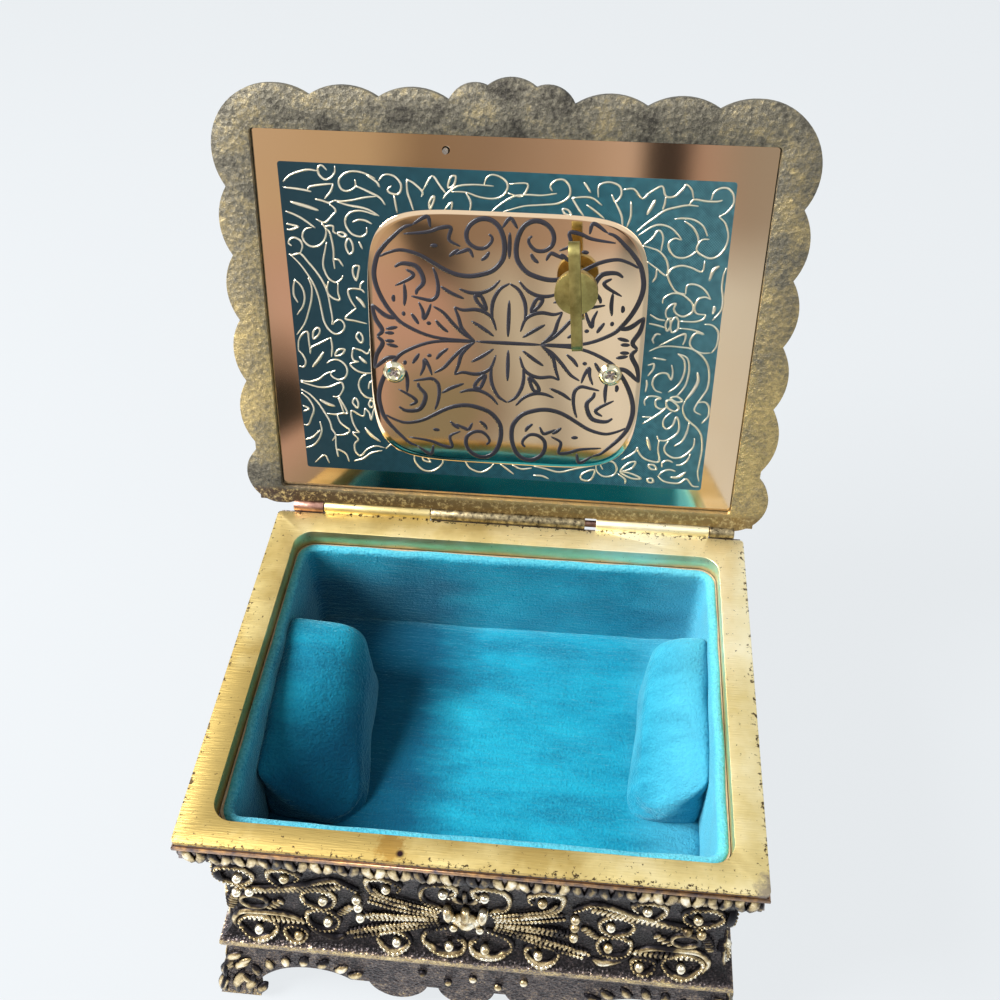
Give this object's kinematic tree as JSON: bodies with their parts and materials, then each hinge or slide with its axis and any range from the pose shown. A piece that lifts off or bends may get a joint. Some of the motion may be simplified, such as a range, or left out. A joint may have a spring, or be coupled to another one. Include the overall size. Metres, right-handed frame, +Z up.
{
  "type": "musical jewellery casket",
  "caption": "Cast metal keepsake casket with a velvet lined well, bracket feet, a scalloped hinged lid and a wind-up musical movement behind the lid's mirror plate.",
  "frame": {"origin": "on the table under the middle of the rim's outline, between the four feet", "axes": "+X to the right, front towards -Y, +Z up; the lid stands open at rest and its hinge runs along X at the back"},
  "size_m": [0.1148, 0.1266, 0.1543],
  "materials": {
    "antique_cast": "cast in relief, blackened, gilt rubbed off the high spots",
    "gilt": "satin gilt, scratched and spotted",
    "lid_cast": "hammered gilt with dark oxidation",
    "hinge_steel": "worn gilt steel pin",
    "printed_mirror": "bright gold tinted plate with a printed teal field",
    "teal_velvet": "cut pile velvet",
    "wadding": "cotton wadding",
    "card": "grey brown card",
    "base_card": "black pressed fibre board",
    "bright_steel": "turned and ground steel",
    "blued_steel": "blued steel",
    "nickel_screw": "bright plated screw heads",
    "movement_cast": "plain grey zinc casting",
    "movement_brass": "turned brass",
    "key_brass": "dull brass key"
  },
  "bodies": {
    "box": {"casket_body": "antique_cast", "rim_frame": "gilt", "hinge_pin": "hinge_steel", "bottom_plate": "base_card", "bottom_screws": "nickel_screw", "card_tray": "card", "floor_wadding": "wadding", "lining_floor": "teal_velvet", "lining_front": "teal_velvet", "lining_back": "teal_velvet", "lining_left": "teal_velvet", "lining_right": "teal_velvet", "bolster_left": "teal_velvet", "bolster_right": "teal_velvet"},
    "lid": {"lid_shell": "lid_cast", "mirror_plate": "printed_mirror", "movement_screws": "nickel_screw", "bedplate": "movement_cast", "comb": "bright_steel", "comb_screws": "blued_steel", "governor_bracket": "movement_cast", "governor_screws": "blued_steel", "wire_guide": "movement_cast", "wire_spring": "bright_steel"},
    "key": {"winding_key": "key_brass", "winding_arbor": "bright_steel"},
    "barrel": {"spring_barrel": "movement_brass", "barrel_cap": "movement_brass", "mainspring": "blued_steel"},
    "drum": {"pinned_drum": "movement_brass", "drum_pinion": "bright_steel", "drum_wheel": "movement_brass"},
    "second_wheel": {"second_arbor": "bright_steel", "worm_wheel": "movement_brass"},
    "governor": {"governor_worm": "bright_steel", "air_fan": "movement_brass"},
    "stop": {"stop_wire": "bright_steel"}
  },
  "joints": [
    {"name": "lid_hinge", "type": "hinge", "parent": "box", "child": "lid", "pos_m": [0, 0.0415, 0.0656], "axis": [1, 0, 0], "range_deg": [0, 106.75]},
    {"name": "key_wind", "type": "hinge", "parent": "lid", "child": "key", "pos_m": [0.0126, 0.05806, 0.11784], "axis": [0, 0.9576, -0.2882], "continuous": true},
    {"name": "drum_spin", "type": "hinge", "parent": "lid", "child": "drum", "pos_m": [-0.0012, 0.06649, 0.11531], "axis": [1, 0, 0], "continuous": true},
    {"name": "barrel_spin", "type": "hinge", "parent": "lid", "child": "barrel", "pos_m": [0.0126, 0.05806, 0.11784], "axis": [0, 0.9576, -0.2882], "continuous": true},
    {"name": "second_spin", "type": "hinge", "parent": "lid", "child": "second_wheel", "pos_m": [-0.0012, 0.06879, 0.12297], "axis": [1, 0, 0], "continuous": true},
    {"name": "fan_spin", "type": "hinge", "parent": "lid", "child": "governor", "pos_m": [-0.0258, 0.06217, 0.13149], "axis": [0, 0.9576, -0.2882], "continuous": true},
    {"name": "stop_slide", "type": "slide", "parent": "lid", "child": "stop", "axis": [0, 0.9576, -0.2882], "range_m": [0, 0.0006], "stiffness_N_per_m": 20, "springref_m": -0.001, "deforming": ["wire_spring"]}
  ],
  "couplings": [
    {"joint": "barrel_spin", "follows": "drum_spin", "ratio": -0.19231},
    {"joint": "second_spin", "follows": "drum_spin", "ratio": -3},
    {"joint": "fan_spin", "follows": "drum_spin", "ratio": -30}
  ]
}
